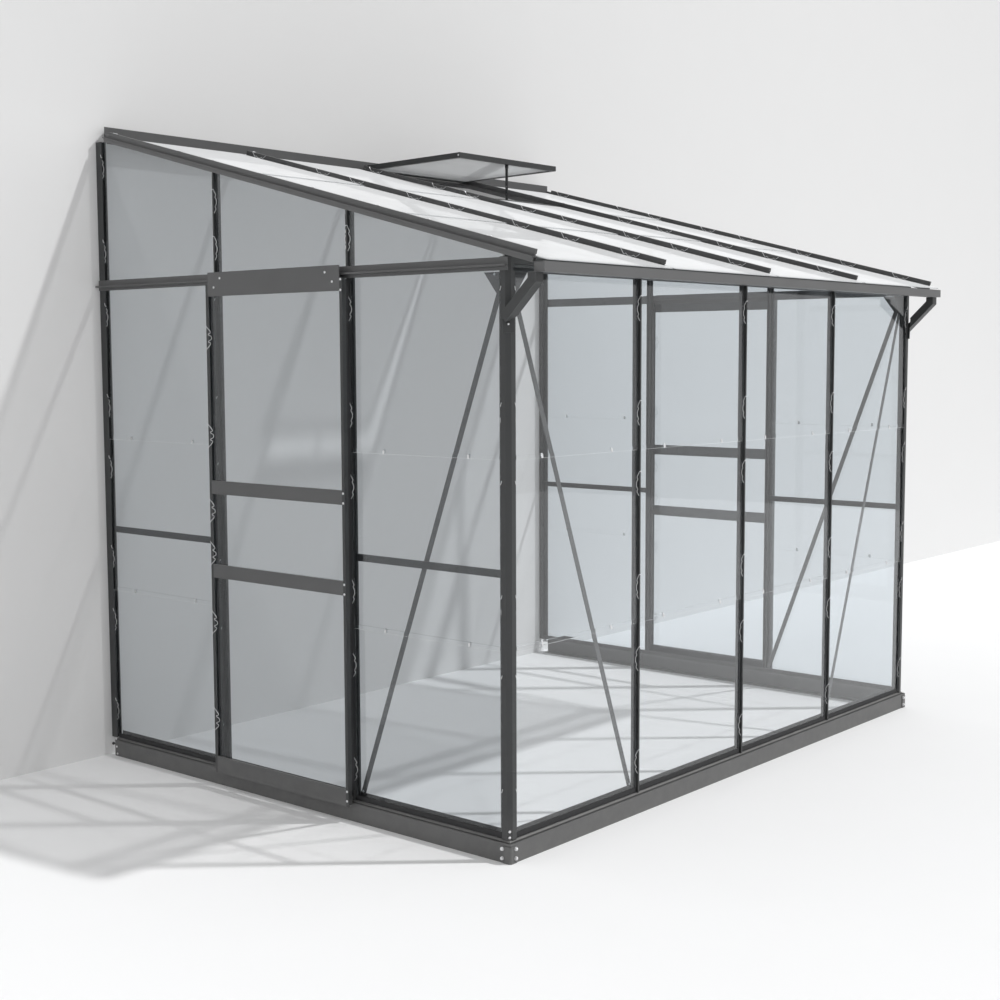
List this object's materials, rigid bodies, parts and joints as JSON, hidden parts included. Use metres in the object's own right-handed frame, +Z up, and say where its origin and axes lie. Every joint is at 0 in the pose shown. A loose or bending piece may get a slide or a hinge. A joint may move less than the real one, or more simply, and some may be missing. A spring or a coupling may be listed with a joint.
{
  "type": "lean-to greenhouse",
  "caption": "Lean-to greenhouse with a dark aluminium frame, clear lapped glass, a sliding door in each end and an opening roof vent.",
  "frame": {"origin": "bottom centre of the bounding box, on the ground", "axes": "+Z up, +Y towards the wall the greenhouse leans on, +X to the right seen from the front"},
  "size_m": [2.576, 2.019, 2.246],
  "materials": {
    "coated_frame": "matte",
    "glass": "gloss",
    "nylon": "satin",
    "rubber": "matte",
    "steel": "satin"
  },
  "bodies": {
    "structure": {"base_front": "coated_frame", "base_left": "coated_frame", "base_right": "coated_frame", "corner_post_left": "coated_frame", "corner_post_right": "coated_frame", "wall_post_left": "coated_frame", "wall_post_right": "coated_frame", "eave_beam": "coated_frame", "gutter": "coated_frame", "ridge_bar": "coated_frame", "front_bar_1": "coated_frame", "front_bar_2": "coated_frame", "front_bar_3": "coated_frame", "left_bar_1": "coated_frame", "left_bar_2": "coated_frame", "right_bar_1": "coated_frame", "right_bar_2": "coated_frame", "rafter_1": "coated_frame", "rafter_2": "coated_frame", "rafter_3": "coated_frame", "rafter_4": "coated_frame", "rafter_5": "coated_frame", "left_door_track": "coated_frame", "right_door_track": "coated_frame", "left_mid_bar_front": "coated_frame", "left_mid_bar_wall": "coated_frame", "right_mid_bar_front": "coated_frame", "right_mid_bar_wall": "coated_frame", "left_brace": "coated_frame", "right_brace": "coated_frame", "front_brace_left": "coated_frame", "front_brace_right": "coated_frame", "vent_sill": "coated_frame", "front_glass_1": "glass", "front_glass_2": "glass", "front_glass_3": "glass", "front_glass_4": "glass", "left_glass_front_bay": "glass", "left_glass_over_door": "glass", "left_glass_wall_bay": "glass", "right_glass_front_bay": "glass", "right_glass_over_door": "glass", "right_glass_wall_bay": "glass", "roof_glass_1": "glass", "roof_glass_2": "glass", "roof_glass_3": "glass", "roof_glass_4": "glass"},
    "left_door": {"left_door_frame": "coated_frame", "left_door_top_rail": "coated_frame", "left_door_glass": "glass"},
    "left_roller_front": {"left_roller_front": "nylon"},
    "left_roller_wall": {"left_roller_wall": "nylon"},
    "right_door": {"right_door_frame": "coated_frame", "right_door_top_rail": "coated_frame", "right_door_glass": "glass"},
    "right_roller_front": {"right_roller_front": "nylon"},
    "right_roller_wall": {"right_roller_wall": "nylon"},
    "vent": {"vent_frame": "coated_frame", "vent_glass": "glass"},
    "vent_stay": {"vent_stay": "coated_frame"}
  },
  "joints": [
    {"name": "left_door_slide", "type": "slide", "parent": "structure", "child": "left_door", "axis": [0, 1, 0], "range_m": [-0.59, 0.59]},
    {"name": "left_roller_front_spin", "type": "hinge", "parent": "left_door", "child": "left_roller_front", "pos_m": [-1.2655, -0.1895, 1.7003], "axis": [-1, 0, 0], "continuous": true},
    {"name": "left_roller_wall_spin", "type": "hinge", "parent": "left_door", "child": "left_roller_wall", "pos_m": [-1.2655, 0.3145, 1.7003], "axis": [-1, 0, 0], "continuous": true},
    {"name": "right_door_slide", "type": "slide", "parent": "structure", "child": "right_door", "axis": [0, 1, 0], "range_m": [-0.59, 0.59]},
    {"name": "right_roller_front_spin", "type": "hinge", "parent": "right_door", "child": "right_roller_front", "pos_m": [1.2655, -0.1895, 1.7003], "axis": [-1, 0, 0], "continuous": true},
    {"name": "right_roller_wall_spin", "type": "hinge", "parent": "right_door", "child": "right_roller_wall", "pos_m": [1.2655, 0.3145, 1.7003], "axis": [-1, 0, 0], "continuous": true},
    {"name": "vent_hinge", "type": "hinge", "parent": "structure", "child": "vent", "pos_m": [0.311, 0.936, 2.2188], "axis": [-1, 0, 0], "range_deg": [-15.4, 0]},
    {"name": "vent_stay_fold", "type": "hinge", "parent": "vent", "child": "vent_stay", "pos_m": [0.311, 0.4359, 2.206], "axis": [-1, 0, 0], "range_deg": [-88, 0]}
  ],
  "couplings": [
    {"joint": "left_roller_front_spin", "follows": "left_door_slide", "rad_per_m": 90.909},
    {"joint": "left_roller_wall_spin", "follows": "left_door_slide", "rad_per_m": 90.909},
    {"joint": "right_roller_front_spin", "follows": "right_door_slide", "rad_per_m": 90.909},
    {"joint": "right_roller_wall_spin", "follows": "right_door_slide", "rad_per_m": 90.909},
    {"joint": "vent_stay_fold", "follows": "vent_hinge", "ratio": 5.7}
  ]
}
